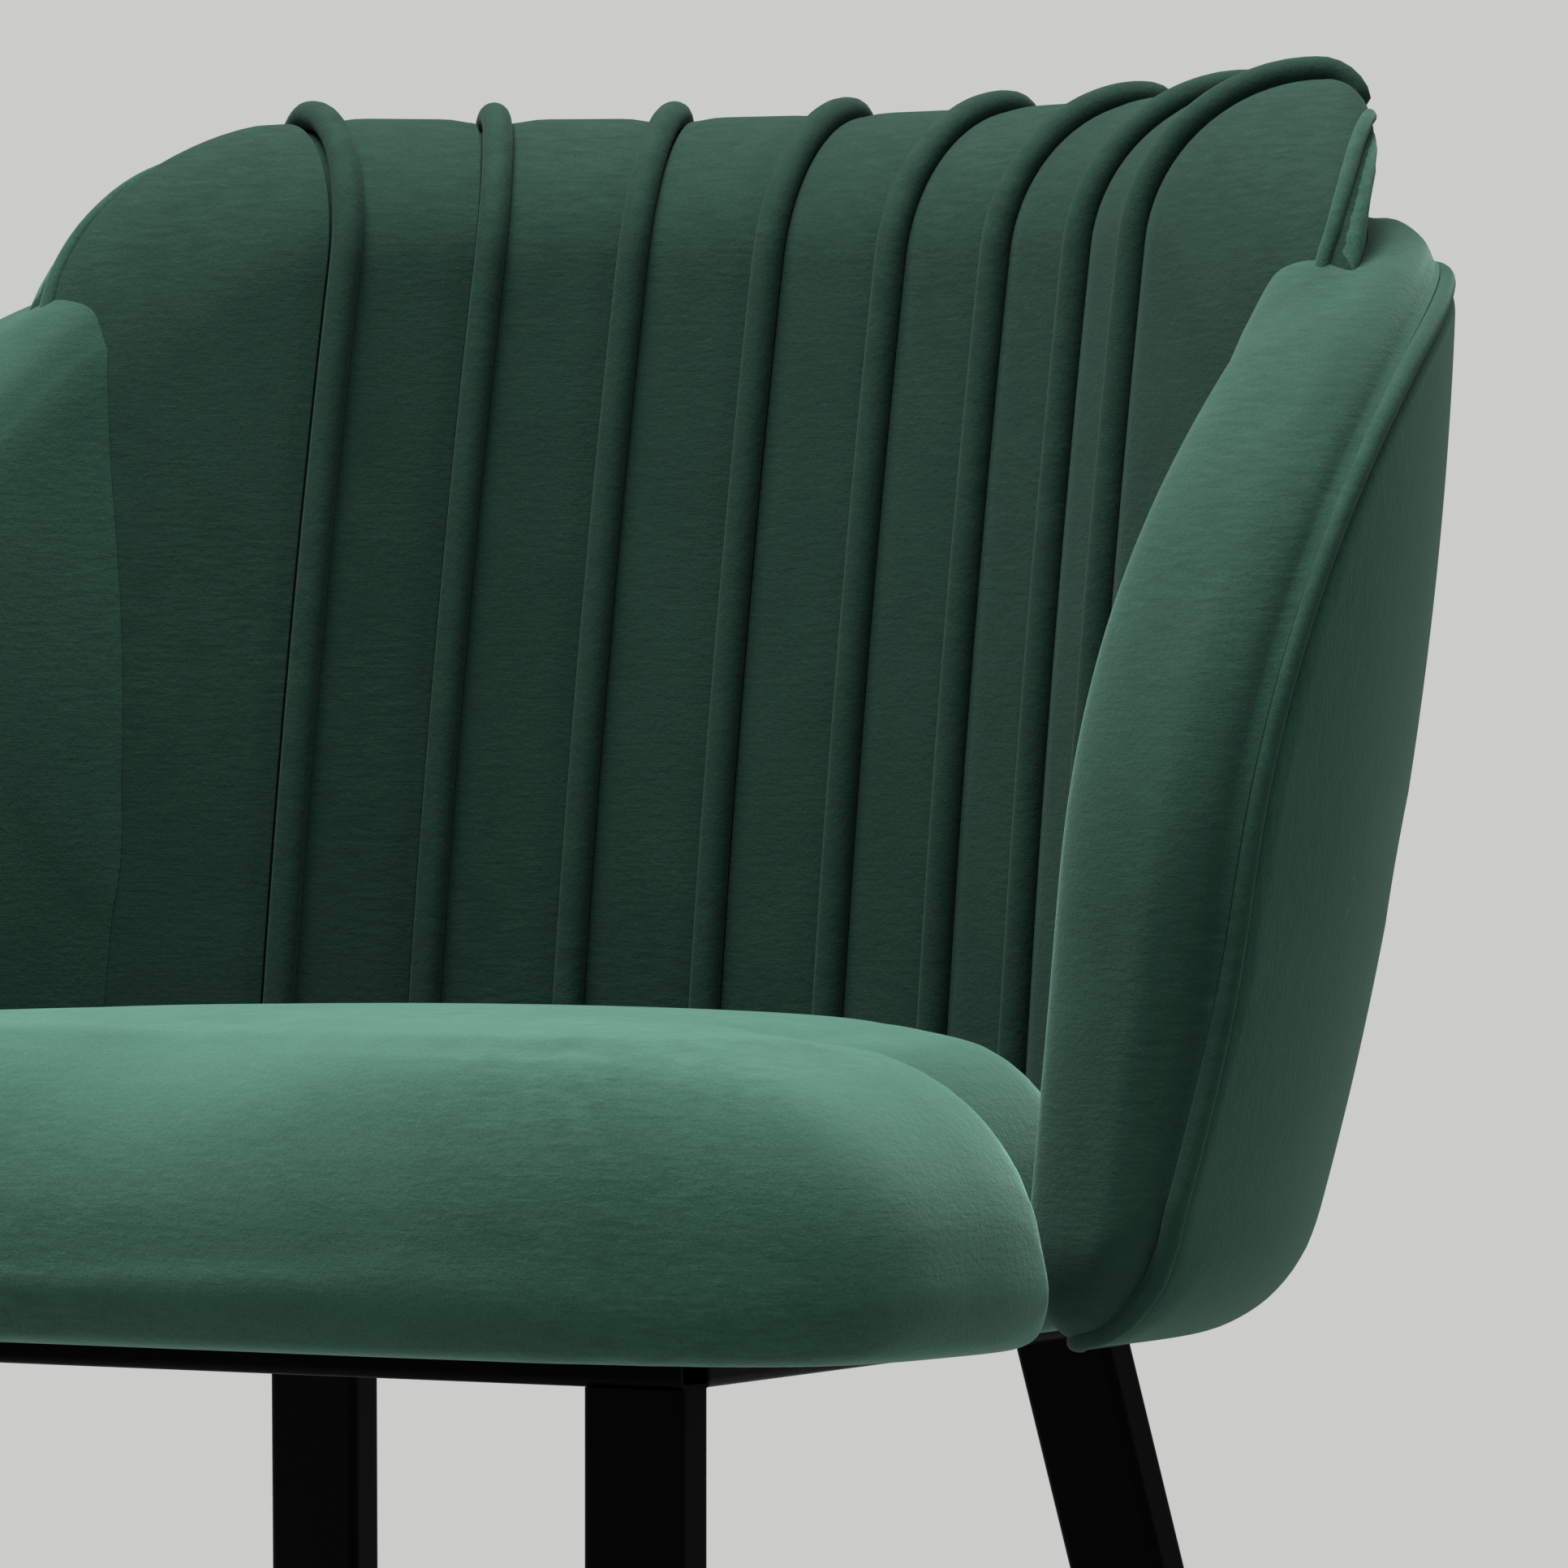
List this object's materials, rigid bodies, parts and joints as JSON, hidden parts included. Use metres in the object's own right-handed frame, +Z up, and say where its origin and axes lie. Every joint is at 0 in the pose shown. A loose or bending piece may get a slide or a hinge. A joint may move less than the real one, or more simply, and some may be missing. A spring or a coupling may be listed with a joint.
{
  "type": "upholstered dining chair",
  "caption": "Dining chair with a piped barrel back inside a padded wrap-round shell, a thick crowned seat and a slim black steel tube frame",
  "frame": {"origin": "On the floor, under the middle of the chair's bounding box", "axes": "+Z up, -Y towards the front of the seat, +X to the left hand of a person sitting in the chair"},
  "size_m": [0.6162, 0.5506, 0.7893],
  "materials": {
    "frame_steel": "semi-matt black powder coat",
    "zinc_steel": "zinc plated",
    "glide_plastic": "matt black",
    "plywood": "raw birch plywood",
    "lining_cloth": "black non-woven lining",
    "velvet": "dark green velvet",
    "velvet_cord": "dark green velvet over cord"
  },
  "bodies": {
    "root": {"front_rail": "frame_steel", "rear_rail": "frame_steel", "left_side_rail": "frame_steel", "right_side_rail": "frame_steel", "front_left_leg": "frame_steel", "front_right_leg": "frame_steel", "rear_left_leg": "frame_steel", "rear_right_leg": "frame_steel", "front_left_glide": "glide_plastic", "front_right_glide": "glide_plastic", "rear_left_glide": "glide_plastic", "rear_right_glide": "glide_plastic", "seat_tabs": "frame_steel", "seat_bolts": "zinc_steel", "seat_t_nuts": "zinc_steel", "seat_board": "plywood", "dust_cover": "lining_cloth", "seat_cushion": "velvet", "left_back_bar": "frame_steel", "right_back_bar": "frame_steel", "back_bar_screws": "zinc_steel", "back_screws": "zinc_steel", "back_board": "plywood", "back_pad": "velvet", "back_rear_panel": "velvet", "back_rear_welt": "velvet_cord", "back_piping_1": "velvet_cord", "back_piping_2": "velvet_cord", "back_piping_3": "velvet_cord", "back_piping_4": "velvet_cord", "back_piping_5": "velvet_cord", "back_piping_6": "velvet_cord", "back_piping_7": "velvet_cord", "back_piping_8": "velvet_cord", "shell_board": "plywood", "shell_pad": "velvet", "shell_panel": "velvet", "shell_welt": "velvet_cord"}
  },
  "joints": []
}
